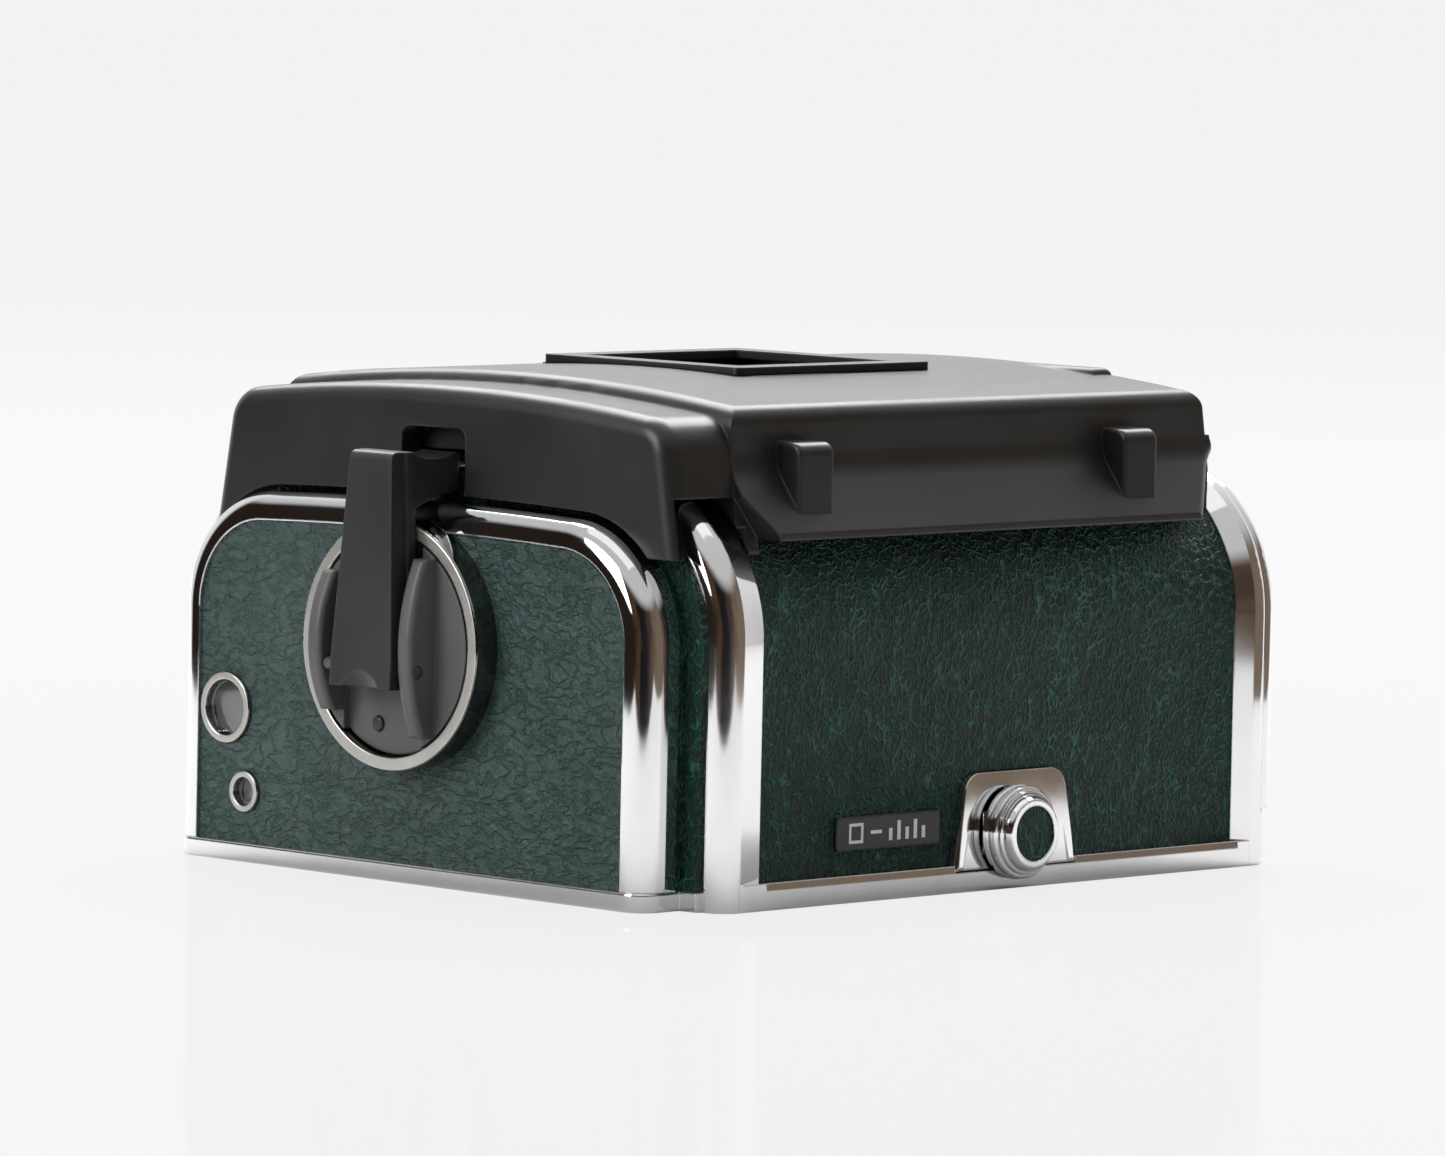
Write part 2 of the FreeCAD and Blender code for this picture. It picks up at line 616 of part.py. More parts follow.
def latch_bar():
    """Sliding bar behind the mating plate: two hooks, and a tongue out to the button."""
    bar = box((-22, 24), (-39.4, -35.2), (2.2, 4.3))
    for x in (-20, 20):
        bar = bar.cut(box((x - 3.4, x + 1.0), (-38.6, -35), (1, 6)))
    tongue = box((BUTTON_X - 2, BUTTON_X + 2), (-43.4, -39.4), (2.35, 4.2))
    upright = box((BUTTON_X - 2, BUTTON_X + 2), (-43.4, -42.4), (2.35, 9.4))
    return bar.fuse(tongue).fuse(upright).removeSplitter()


def latch_spring():
    return spring(0.8, 0.16, 0.9, 6.0, (-28.1, -37.3, 3.25), (1, 0, 0))


# ---------------------------------------------------------------- label
def label_plate():
    """Film-type plate on the leather beside the release boss."""
    plate = box((-29.0, -11.9), (-SHELL_HALF - 0.4, -SHELL_HALF), (5.8, 9.7))
    return fillet(plate, 0.6, lambda b: b.XLength < EPS and b.ZLength < EPS)


# ---------------------------------------------------------------- rear cover
def cover_section(x0, x1, head, top, foot, foot_z):
    """Section of the rear cover, seen along X: crowned top and sides that lean outwards to their feet."""
    head_z = crown_z(head, top)
    points = [V(x0, -head, head_z), V(x0, -foot, foot_z), V(x0, foot, foot_z), V(x0, head, head_z)]
    edges = [Part.LineSegment(a, b).toShape() for a, b in zip(points, points[1:])]
    edges.append(Part.Arc(points[-1], V(x0, 0, top), points[0]).toShape())
    section = Part.Face(Part.Wire(edges)).extrude(V(x1 - x0, 0, 0))
    section.translate(V(0, COVER_Y, 0))
    return section


def dome_section(x0, x1):
    return cover_section(x0, x1, DOME_HALF, DOME_TOP, DOME_HALF, 41)


def skirt(side):
    """Sloping ledge along one long edge of the dome: it blends into the wall and narrows towards its lip."""
    out, low, lip = 42.1, 42.2, 0.8
    blend = 1.6
    slope = V(0, out - DOME_HALF, low - SKIRT_TOP).normalize()
    corner = V(0, DOME_HALF, SKIRT_TOP)
    bisector = (V(0, 0, 1) + slope).normalize()
    turn = math.acos(-slope.z) / 2
    start, end = corner + V(0, 0, blend), corner + slope * blend
    middle = corner + bisector * blend * (1 - math.cos(turn)) / math.sin(turn)
    points = [end, V(0, out, low), V(0, out, low - lip), V(0, 34, low - lip), V(0, 34, start.z), start]
    edges = [Part.LineSegment(a, b).toShape() for a, b in zip(points, points[1:])]
    edges.append(Part.Arc(start, middle, end).toShape())
    face = Part.Face(Part.Wire(edges))
    if side < 0:
        face = face.mirror(V(0, 0, 0), V(0, 1, 0))
    face.translate(V(-50, 0, 0))
    ledge = face.extrude(V(100, 0, 0))
    y0, y1 = sorted((side * 30, side * 50))
    plan = prism(
        [(-42.2, y0, SKIRT_TOP + 2), (38.2, y0, SKIRT_TOP + 2), (39.2, y0, SKIRT_TOP - 1),
         (33.0, y0, low - lip), (-39.0, y0, low - lip), (-42.2, y0, low + 4)],
        (0, y1 - y0, 0),
    )
    ledge = ledge.common(plan)
    ledge = fillet(ledge, 1.6, lambda b: b.ZLength > 5 and b.YLength > 3 and b.XLength > 1)
    ledge.translate(V(0, COVER_Y, 0))
    return ledge


def grip_hook(x):
    """One of the two upright hooks on the button side's panel."""
    half = 2.8
    back, front, head, foot = COVER_Y - DOME_HALF + 1, -42.1, 52.2, 43.0
    a = V(x - half, back, head)
    b = V(x - half, front + 1.6, head)
    bc = V(x - half, front + 0.4, head - 0.45)
    c = V(x - half, front, head - 1.6)
    d = V(x - half, front, foot)
    e = V(x - half, back, foot)
    edges = [
        Part.LineSegment(a, b).toShape(),
        Part.Arc(b, bc, c).toShape(),
        Part.LineSegment(c, d).toShape(),
        Part.LineSegment(d, e).toShape(),
        Part.LineSegment(e, a).toShape(),
    ]
    hook = Part.Face(Part.Wire(edges)).extrude(V(2 * half, 0, 0))
    return fillet(hook, 0.5, lambda b: at(b.YMin, front) and at(b.YMax, front) and b.ZLength > 5)


def dome():
    """Main part of the rear cover: its end on the key side leans outwards to its foot."""
    body = dome_section(*DOME_X)
    high_x = DOME_X[1] - 2.1
    top = DOME_TOP + 1
    wedge = prism([(high_x, -50, top), (60, -50, top), (60, -50, 47), (DOME_X[1], -50, 47)], (0, 100, 0))
    body = body.cut(wedge)
    return fillet(body, 2.2, lambda b: b.ZMin > 55 and (b.XLength > 60 or b.YLength > 60))


def lobe():
    """Part of the rear cover over the crank housing, lower than the dome, with raked ends."""
    body = cover_section(LOBE_X, DOME_X[0] + 3, 36.0, LOBE_TOP, 38.7, 39.4)
    body = fillet(body, 4.5, lambda b: b.XLength > 5 and b.ZMin > 50)
    return fillet(body, 2.2, lambda b: at(b.XMin, LOBE_X) and at(b.XMax, LOBE_X) and not at(b.ZMax, 39.4))


def rear_cover():
    """Moulded rear cover: a crowned dome, a lower lobe over the crank side, a pocket for the dark slide."""
    cover = dome().fuse(lobe()).fuse(skirt(-1)).fuse(skirt(1))
    for x in (-32.0, 22.4):
        cover = cover.fuse(grip_hook(x))
    ridge = box((32.0, 35.2), (-25.4, -10.2), (54, crown_z(18, DOME_TOP) + 0.4))
    ridge = fillet(ridge, 1.0, lambda b: b.ZMin > 55)
    cover = cover.fuse(ridge)
    cover = cover.cut(shell_slab(PANEL_X[0] - 0.3, 60, 0.15, 0))
    cover = cover.cut(shell_slab(PANEL_X[1] - 0.15, 60, RIM_PROUD + 0.2, 0))
    cover = cover.cut(shell_slab(FLANK_X - 0.2, PANEL_X[0] + 0.3, RIM_PROUD + 0.2, 0))
    cover = cover.cut(housing_slab(-60, FLANK_X + 0.5, 0.7, 0))
    cover = cover.cut(housing_slab(FLANK_X - 0.7, FLANK_X + 0.1, STRIP_OUT - HOUSING_HALF + 0.2, 0))
    for side in (-1, 1):
        y = sorted((COVER_Y + side * 34.2, side * 60))
        cover = cover.cut(box((LOBE_X + 0.8, DOME_X[0] - 0.1), y, (0, 46.2)))
    notch = box((-60, LOBE_X + 3.6), (-5.6, 4.9), (40, 52.2))
    notch = fillet(notch, 1.2, lambda b: b.XLength > 5 and b.ZMin > 50)
    side = DOME_HALF - COVER_WALL
    inside = box((DOME_X[0] + COVER_WALL, COVER_END), (COVER_Y - side, COVER_Y + side), (40, 70))
    inside = inside.common(dome_section(-50, 50).translated(V(0, 0, -COVER_WALL)))
    slot = box((30, 45), (-POCKET_HALF, POCKET_HALF), POCKET_Z)
    return cover.cut(notch).cut(inside).cut(slot).cut(memo_recess()).removeSplitter()


def slide_pocket():
    """Folded sheet sleeve inside the rear cover that stores the dark slide."""
    low, high = POCKET_Z
    end = COVER_END
    sleeve = box((-36, end), (-POCKET_HALF - 0.6, POCKET_HALF + 0.6), (low - 0.6, high + 0.6))
    return sleeve.cut(box((-35.4, 60), (-POCKET_HALF, POCKET_HALF), POCKET_Z))


def memo_recess():
    """Sunk floor under the memo frame, open towards -Y."""
    return box((MEMO_X - MEMO_SLOT, MEMO_X + MEMO_SLOT), (-MEMO_HALF - 0.4, MEMO_SLOT), (57.2, 60))


def memo_frame():
    """Raised square frame that holds a film-box flap: open towards -Y, closed on three sides."""
    half, x = MEMO_HALF, MEMO_X
    plate = box((x - half, x + half), (-half, half), (58.0, MEMO_TOP))
    plate = fillet(plate, 0.8, lambda b: b.XLength < EPS and b.YLength < EPS)
    window = box((x - MEMO_WINDOW, x + MEMO_WINDOW), (-MEMO_WINDOW, MEMO_WINDOW), (50, 70))
    plate = plate.cut(window)
    for side in ((x - half, x - MEMO_SLOT), (x + MEMO_SLOT, x + half)):
        plate = plate.fuse(box(side, (-half + 1, half), (57.0, 58.0)))
    plate = plate.fuse(box((x - half, x + half), (MEMO_SLOT, half), (57.0, 58.0)))
    return plate.removeSplitter().cut(dome_section(*DOME_X).cut(memo_recess())).removeSplitter()


# ---------------------------------------------------------------- dark slide
def slide_blade():
    """Thin steel blade that closes the gate."""
    blade = box((-40.3, SLIDE_HUB_X - 0.9), (-30.3, 30.3), (4.65, 5.05))
    return fillet(blade, 1.5, lambda b: b.XLength < EPS and b.YLength < EPS and b.XMin < 0)


def slide_handle_hub():
    """Rolled tube along the blade's outer edge, with bores for the bail's ends."""
    x, z = SLIDE_HUB_X, 4.85
    tube = rod(1.3, (x, -30.3, z), (x, 30.3, z))
    return tube.cut(rod(0.85, (x, -40, z), (x, 40, z))).cut(slide_blade())


def slide_bail():
    """Wire bail, hinged in the hub, that folds out to pull the slide."""
    wire_r, half, reach, bend = 0.8, 31.4, 7.0, 3.0
    x, z = SLIDE_HUB_X, 4.85
    slant = bend * (1 - math.sqrt(0.5))
    start = V(x, -half + 5, z)
    crest = x + reach
    points = [
        (V(x, -half + 5, z), V(x, -half + 0.9, z)),
        (V(x, -half + 0.9, z), V(x + 0.26, -half + 0.26, z), V(x + 0.9, -half, z)),
        (V(x + 0.9, -half, z), V(crest - bend, -half, z)),
        (V(crest - bend, -half, z), V(crest - slant, -half + slant, z), V(crest, -half + bend, z)),
        (V(crest, -half + bend, z), V(crest, half - bend, z)),
        (V(crest, half - bend, z), V(crest - slant, half - slant, z), V(crest - bend, half, z)),
        (V(crest - bend, half, z), V(x + 0.9, half, z)),
        (V(x + 0.9, half, z), V(x + 0.26, half - 0.26, z), V(x, half - 0.9, z)),
        (V(x, half - 0.9, z), V(x, half - 5, z)),
    ]
    edges = [Part.LineSegment(*p).toShape() if len(p) == 2 else Part.Arc(*p).toShape() for p in points]
    section = Part.Wire([Part.makeCircle(wire_r, start, V(0, -1, 0))])
    return Part.Wire(edges).makePipeShell([section], True, True)


# ---------------------------------------------------------------- film insert
def insert_end_plate():
    """Plate that closes the shell's open side and carries the key."""
    joint = BODY_X[1] + 0.2
    plug = shell_slab(PLUG_X, joint, -LEATHER - WALL - 0.35, INSERT_LOW)
    cover = shell_slab(joint, COVER_X - 0.9, -0.3, INSERT_LOW - 0.9)
    plate = plug.fuse(cover).removeSplitter()
    return plate.cut(disc_x(3.05, 30, 50, 0, CRANK_Z))


def insert_rim():
    """Chrome band round the insert's cover."""
    low = INSERT_LOW - 0.9
    band = shell_slab(BODY_X[1] + 0.2, COVER_X, 0.6, low)
    band = fillet(band, 1.4, on_rear_plane_x(COVER_X))
    band = band.cut(shell_slab(BODY_X[1], COVER_X - 0.9, -0.3, 0))
    return band.cut(shell_slab(BODY_X[1], COVER_X + 1, -3.0, low + 2.2))


def insert_leather():
    panel = shell_slab(COVER_X - 0.9, COVER_X - 0.2, -3.0, INSERT_LOW - 0.9 + 2.2)
    return panel.cut(disc_x(KEY_RING_R, 30, 50, 0, CRANK_Z))


def insert_frame():
    """Sheet carriage: a side wall, a web across the film path and two roller brackets."""
    side = slab(-41.4, -40.2, 38.6, 9.4, 43.6, 14.0, 0.4)
    side = side.cut(disc_x(3.4, -45, -35, TAKEUP_Y, SPOOL_Z))
    side = side.cut(disc_x(SPOOL_PIN_R, -45, -35, SPOOL_Y, SPOOL_Z))
    web = box((-40.2, PLUG_X), (-20, 20), (12.6, 13.8))
    frame = side.fuse(web)
    for y in (-33.5, 33.5):
        inner, outer = sorted((math.copysign(19, y), math.copysign(36, y)))
        for x in ((-40.2, -39.4), (PLUG_X - 0.8, PLUG_X)):
            frame = frame.fuse(box(x, (inner, outer), (9.6, 13.8)))
        frame = frame.cut(disc_x(1.0, -50, 50, y, 11.2))
    return frame.removeSplitter()


def guide_roller(y):
    """Film guide roller on its own stub ends."""
    roller = disc_x(2.6, -39.0, PLUG_X - 1.2, y, 11.2)
    return roller.fuse(disc_x(0.95, -40.1, PLUG_X - 0.1, y, 11.2)).removeSplitter()


def spool_pins():
    """Fixed pins that carry the spools: two on the end plate, one on the side wall."""
    pins = [disc_x(SPOOL_PIN_R, 29.5, PLUG_X, y, SPOOL_Z) for y in (TAKEUP_Y, SPOOL_Y)]
    pins.append(disc_x(SPOOL_PIN_R, -41.4, -29.5, SPOOL_Y, SPOOL_Z))
    return Part.makeCompound(pins)


def takeup_spool():
    """A 120 spool: slotted flanges on a hollow core."""
    y = TAKEUP_Y
    core = disc_x(5.2, -SPOOL_HALF, SPOOL_HALF, y, SPOOL_Z)
    for x0, x1 in ((-SPOOL_HALF, -SPOOL_HALF + 1.2), (SPOOL_HALF - 1.2, SPOOL_HALF)):
        core = core.fuse(disc_x(FLANGE_R, x0, x1, y, SPOOL_Z))
    core = core.cut(disc_x(SPOOL_PIN_R + 0.1, -50, 50, y, SPOOL_Z))
    core = core.cut(box((-40, -SPOOL_HALF + 3.2), (y - 4.6, y + 4.6), (SPOOL_Z - 0.9, SPOOL_Z + 0.9)))
    core = core.cut(box((-20, 20), (y - 8, y + 8), (SPOOL_Z - 0.6, SPOOL_Z + 0.6)))
    return core.removeSplitter()


def pressure_plate():
    plate = box((-30, 30), (-28.5, 28.5), (8.0, 9.3))
    return fillet(plate, 2.0, lambda b: b.XLength < EPS and b.YLength < EPS)


def leaf_spring(y):
    """Bowed strip: its ends bear on the web and its middle on the pressure plate."""
    reach, half_width, gauge = 22.0, 3.0, 0.3
    low, high = 9.3, 12.6
    ends = [V(-reach, y - half_width, high), V(reach, y - half_width, high)]
    lift = V(0, 0, -gauge)
    middle = V(0, y - half_width, low + gauge)
    edges = [
        Part.Arc(ends[0], middle, ends[1]).toShape(),
        Part.LineSegment(ends[1], ends[1] + lift).toShape(),
        Part.Arc(ends[1] + lift, middle + lift, ends[0] + lift).toShape(),
        Part.LineSegment(ends[0] + lift, ends[0]).toShape(),
    ]
    return Part.Face(Part.Wire(edges)).extrude(V(0, 2 * half_width, 0))


def pressure_springs():
    """Two leaf springs between the web and the pressure plate, one solid each."""
    return Part.makeCompound([leaf_spring(y) for y in (-14, 14)])


def key_bezel():
    front = COVER_X + 1.4
    ring = ring_x(KEY_RING_R, 13.3, COVER_X - 0.9, front, 0, CRANK_Z)
    return fillet(ring, 0.3, lambda b: at(b.XMin, front) and at(b.XMax, front))


def key_dial():
    """Dial that locks the insert, with a recess for its folding wing."""
    back = COVER_X - 0.7
    dial = disc_x(13.1, back, back + 1.9, 0, CRANK_Z)
    dial = dial.cut(disc_x(11.6, back + 0.8, 60, 0, CRANK_Z))
    for side in (-1, 1):
        y = sorted((side * 8.4, side * 10.9))
        dial = dial.fuse(box((back + 0.8, back + 2.9), y, (CRANK_Z - 1.3, CRANK_Z + 1.3)))
    spindle = disc_x(3.0, CAM_X[0], back, 0, CRANK_Z)
    dial = dial.fuse(spindle)
    return dial.cut(rod(0.75, (KEY_HINGE_X, -20, CRANK_Z), (KEY_HINGE_X, 20, CRANK_Z))).removeSplitter()


def key_wing():
    """Half-round wing that folds out of the dial to turn it."""
    x0, x1 = KEY_HINGE_X - 0.8, KEY_HINGE_X + 0.75
    wing = disc_x(11.2, x0, x1, 0, CRANK_Z)
    wing = wing.cut(box((30, 60), (-20, 20), (CRANK_Z - 0.9, 60)))
    knuckle = box((x0, x1), (-8.1, 8.1), (CRANK_Z - 1.6, CRANK_Z + 0.7))
    wing = wing.cut(box((30, 60), (-20, -8.1), (CRANK_Z - 2.2, 60)))
    wing = wing.cut(box((30, 60), (8.1, 20), (CRANK_Z - 2.2, 60)))
    wing = wing.fuse(knuckle)
    finger = disc_x(3.4, 30, 60, 0, CRANK_Z - 6.4)
    pin = rod(0.7, (KEY_HINGE_X, -10.7, CRANK_Z), (KEY_HINGE_X, 10.7, CRANK_Z))
    return wing.cut(finger).fuse(pin).removeSplitter()


def lock_cam():
    """Oblong cam on the key's spindle, inside the end plate."""
    cam = box(CAM_X, (-2.6, 2.6), (CRANK_Z - 8, CRANK_Z + 8))
    for z in (CRANK_Z - 8, CRANK_Z + 8):
        cam = cam.fuse(disc_x(2.6, *CAM_X, 0, z))
    cam = cam.fuse(disc_x(4.4, *CAM_X, 0, CRANK_Z)).removeSplitter()
    return cam.cut(disc_x(3.0, 30, 60, 0, CRANK_Z))


# ---------------------------------------------------------------- gear train, dial and flag
def mesh_phase(from_y, from_z, first_tooth, teeth, to_y, to_z, to_teeth):
    """Angle of a tooth of the second gear, so that its gap faces the first gear's tooth."""
    toward = math.atan2(to_z - from_z, to_y - from_y)
    step = 2 * math.pi / teeth
    offset = (first_tooth - toward + step / 2) % step - step / 2
    gap = toward + math.pi - offset * teeth / to_teeth
    return gap + math.pi / to_teeth


CRANK_PHASE = math.pi
TAKEUP_PHASE = mesh_phase(0, CRANK_Z, CRANK_PHASE, CRANK_TEETH, TAKEUP_Y, SPOOL_Z, TAKEUP_TEETH)
DRIVE_PHASE = mesh_phase(0, CRANK_Z, CRANK_PHASE, CRANK_TEETH, DRIVE_Y, DRIVE_Z, DRIVE_TEETH)


def crank_gear():
    return gear(CRANK_TEETH, *GEAR_X, 0, CRANK_Z, CRANK_PHASE, 2.54)


def takeup_gear():
    """Gear of the take-up spool, with its shaft and the blade that drives the spool."""
    wheel = gear(TAKEUP_TEETH, *GEAR_X, TAKEUP_Y, SPOOL_Z, TAKEUP_PHASE, 1.0)
    shaft = disc_x(2.3, GEAR_X[0], -29.5, TAKEUP_Y, SPOOL_Z)
    blade = box((-32.3, -29.6), (TAKEUP_Y - 3.8, TAKEUP_Y + 3.8), (SPOOL_Z - 0.6, SPOOL_Z + 0.6))
    return wheel.fuse(shaft).fuse(blade).removeSplitter()


def takeup_bush():
    """Bush of the take-up shaft in the shell's wall."""
    return ring_x(4.0, 2.35, BODY_X[0], -42.8, TAKEUP_Y, SPOOL_Z)


def drive_gear():
    """Gear that meets the camera's own gear through a well in the mating face."""
    return gear(DRIVE_TEETH, *GEAR_X, DRIVE_Y, DRIVE_Z, DRIVE_PHASE, 1.55)


def gear_axles():
    """Fixed axles of the drive gear and the counter dial."""
    drive = disc_x(1.5, GEAR_X[0] - 0.7, BODY_X[0], DRIVE_Y, DRIVE_Z)
    dial = disc_x(1.0, DIAL_X[0] - 0.15, BODY_X[0], DIAL_Y, DIAL_Z)
    return Part.makeCompound([drive, dial])


def counter_dial():
    """Dial that shows the frame number in the counter window."""
    return ring_x(DIAL_R, 1.05, *DIAL_X, DIAL_Y, DIAL_Z)


def status_flag():
    """Two-colour flag that slides behind the status window."""
    return box((DIAL_X[0], DIAL_X[0] + 0.5), (20.6, 30.4), (5.5, 10.9))


# ---------------------------------------------------------------- all nodes
NODES = {
    "front_frame": front_frame,
    "front_plate": front_plate,
    "front_screws": front_screws,
    "slide_frame": slide_frame,
    "slide_light_seal": slide_light_seal,
    "main_shell": main_shell,
    "shell_leather": shell_leather,
    "rim_crank_side": rim_crank_side,
    "rim_key_side": rim_key_side,
    "crank_housing": crank_housing,
    "crank_face_rim": crank_face_rim,
    "crank_face_leather": crank_face_leather,
    "crank_strip_leather": crank_strip_leather,
    "counter_bezel": lambda: window_bezel(COUNTER_WINDOW),
    "counter_glass": lambda: window_glass(COUNTER_WINDOW),
    "status_bezel": lambda: window_bezel(STATUS_WINDOW),
    "status_glass": lambda: window_glass(STATUS_WINDOW),
    "crank_bezel": crank_bezel,
    "crank_disc": crank_disc,
    "crank_shaft": crank_shaft,
    "crank_hinge_pin": crank_hinge_pin,
    "crank_stop_rivet": crank_stop_rivet,
    "crank_arm": crank_arm,
    "crank_knob": crank_knob,
    "release_boss": release_boss,
    "release_button": release_button,
    "button_inlay": button_inlay,
    "latch_bar": latch_bar,
    "latch_spring": latch_spring,
    "label_plate": label_plate,
    "rear_cover": rear_cover,
    "slide_pocket": slide_pocket,
    "memo_frame": memo_frame,
    "slide_blade": slide_blade,
    "slide_handle_hub": slide_handle_hub,
    "slide_bail": slide_bail,
    "insert_end_plate": insert_end_plate,
    "insert_rim": insert_rim,
    "insert_leather": insert_leather,
    "insert_frame": insert_frame,
    "upper_roller": lambda: guide_roller(-33.5),
    "lower_roller": lambda: guide_roller(33.5),
    "spool_pins": spool_pins,
    "takeup_spool": takeup_spool,
    "pressure_plate": pressure_plate,
    "pressure_springs": pressure_springs,
    "key_bezel": key_bezel,
    "key_dial": key_dial,
    "key_wing": key_wing,
    "lock_cam": lock_cam,
    "crank_gear": crank_gear,
    "takeup_gear": takeup_gear,
    "takeup_bush": takeup_bush,
    "drive_gear": drive_gear,
    "gear_axles": gear_axles,
    "counter_dial": counter_dial,
    "status_flag": status_flag,
}


def main():
    os.makedirs("parts", exist_ok=True)
    for name, make in NODES.items():
        shape = make()
        solids = shape.Solids
        valid = all(s.isValid() for s in solids)
        print(f"{name}: {len(solids)} solid(s), {shape.Volume:.1f} mm3, valid {valid}")
        shape.exportStep(f"parts/{name}.step")


main()
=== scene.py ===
"""Looks of a roll-film magazine that lies on its mating face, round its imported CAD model.

Everything is in metres, in the model's own frame: +Z is the magazine's rear, -X the winding crank's side,
-Y the release button's side.
"""

import json
import math

import bmesh  # noqa: E402
import bpy  # noqa: E402
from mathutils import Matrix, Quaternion, Vector  # noqa: E402


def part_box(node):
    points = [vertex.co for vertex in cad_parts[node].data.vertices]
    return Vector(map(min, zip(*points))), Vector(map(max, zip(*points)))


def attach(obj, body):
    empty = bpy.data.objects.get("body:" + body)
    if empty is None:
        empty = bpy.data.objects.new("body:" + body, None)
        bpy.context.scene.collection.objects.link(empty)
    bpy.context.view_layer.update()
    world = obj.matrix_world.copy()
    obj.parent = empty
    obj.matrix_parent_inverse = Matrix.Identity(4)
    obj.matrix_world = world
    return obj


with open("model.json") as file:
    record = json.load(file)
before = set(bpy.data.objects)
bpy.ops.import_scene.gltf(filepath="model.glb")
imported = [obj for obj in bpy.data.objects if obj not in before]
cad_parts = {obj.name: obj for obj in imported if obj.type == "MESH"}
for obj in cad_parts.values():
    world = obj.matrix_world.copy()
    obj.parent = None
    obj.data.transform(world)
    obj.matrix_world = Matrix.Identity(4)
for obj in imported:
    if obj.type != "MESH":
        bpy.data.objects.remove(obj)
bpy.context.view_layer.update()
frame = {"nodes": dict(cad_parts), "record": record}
MM = 0.001


# ---------------------------------------------------------------- node helpers
class Graph:
    """A node tree, with short ways to add and join nodes."""

    def __init__(self, node_tree):
        self.nodes = node_tree.nodes
        self.links = node_tree.links

    def add(self, kind, **settings):
        node = self.nodes.new(kind)
        for key, value in settings.items():
            setattr(node, key, value)
        return node

    def join(self, source, target):
        self.links.new(source, target)

    def vector(self, operation, a, b):
        """Vector maths node; each argument is a socket or a fixed vector."""
        node = self.add("ShaderNodeVectorMath", operation=operation)
        for socket, value in zip(node.inputs, (a, b)):
            self.feed(value, socket)
        return node

    def maths(self, operation, a, b=0.0, c=None):
        """Maths node; each argument is a socket or a number."""
        node = self.add("ShaderNodeMath", operation=operation)
        for socket, value in zip(node.inputs, (a, b) if c is None else (a, b, c)):
            self.feed(value, socket)
        return node.outputs["Value"]

    def feed(self, value, socket):
        if isinstance(value, bpy.types.NodeSocket):
            self.join(value, socket)
        else:
            socket.default_value = value

    def mapped(self, place, scale):
        """A position scaled by three factors."""
        mapping = self.add("ShaderNodeMapping")
        mapping.inputs["Scale"].default_value = scale
        self.join(place, mapping.inputs["Vector"])
        return mapping.outputs["Vector"]

    def noise_node(self, place, scale, detail):
        node = self.add("ShaderNodeTexNoise")
        node.inputs["Scale"].default_value = scale
        node.inputs["Detail"].default_value = detail
        self.join(place, node.inputs["Vector"])
        return node

    def remap(self, source, low, high, new_low=0.0, new_high=1.0, curve="LINEAR"):
        node = self.add("ShaderNodeMapRange", interpolation_type=curve)
        for key, value in zip(("From Min", "From Max", "To Min", "To Max"), (low, high, new_low, new_high)):
            node.inputs[key].default_value = value
        self.join(source, node.inputs["Value"])
        return node.outputs["Result"]

    def ramp(self, source, stops):
        """A colour ramp from (position, colour) pairs."""
        node = self.add("ShaderNodeValToRGB")
        elements = node.color_ramp.elements
        while len(elements) < len(stops):
            elements.new(0.5)
        for element, (position, colour) in zip(elements, stops):
            element.position = position
            element.color = (*colour, 1.0)
        self.join(source, node.inputs["Fac"])
        return node.outputs["Color"]

    def mix(self, factor, first, second):
        """Mixes two shaders; the factor is a socket or a number."""
        node = self.add("ShaderNodeMixShader")
        self.feed(factor, node.inputs["Fac"])
        self.join(first, node.inputs[1])
        self.join(second, node.inputs[2])
        return node.outputs[0]


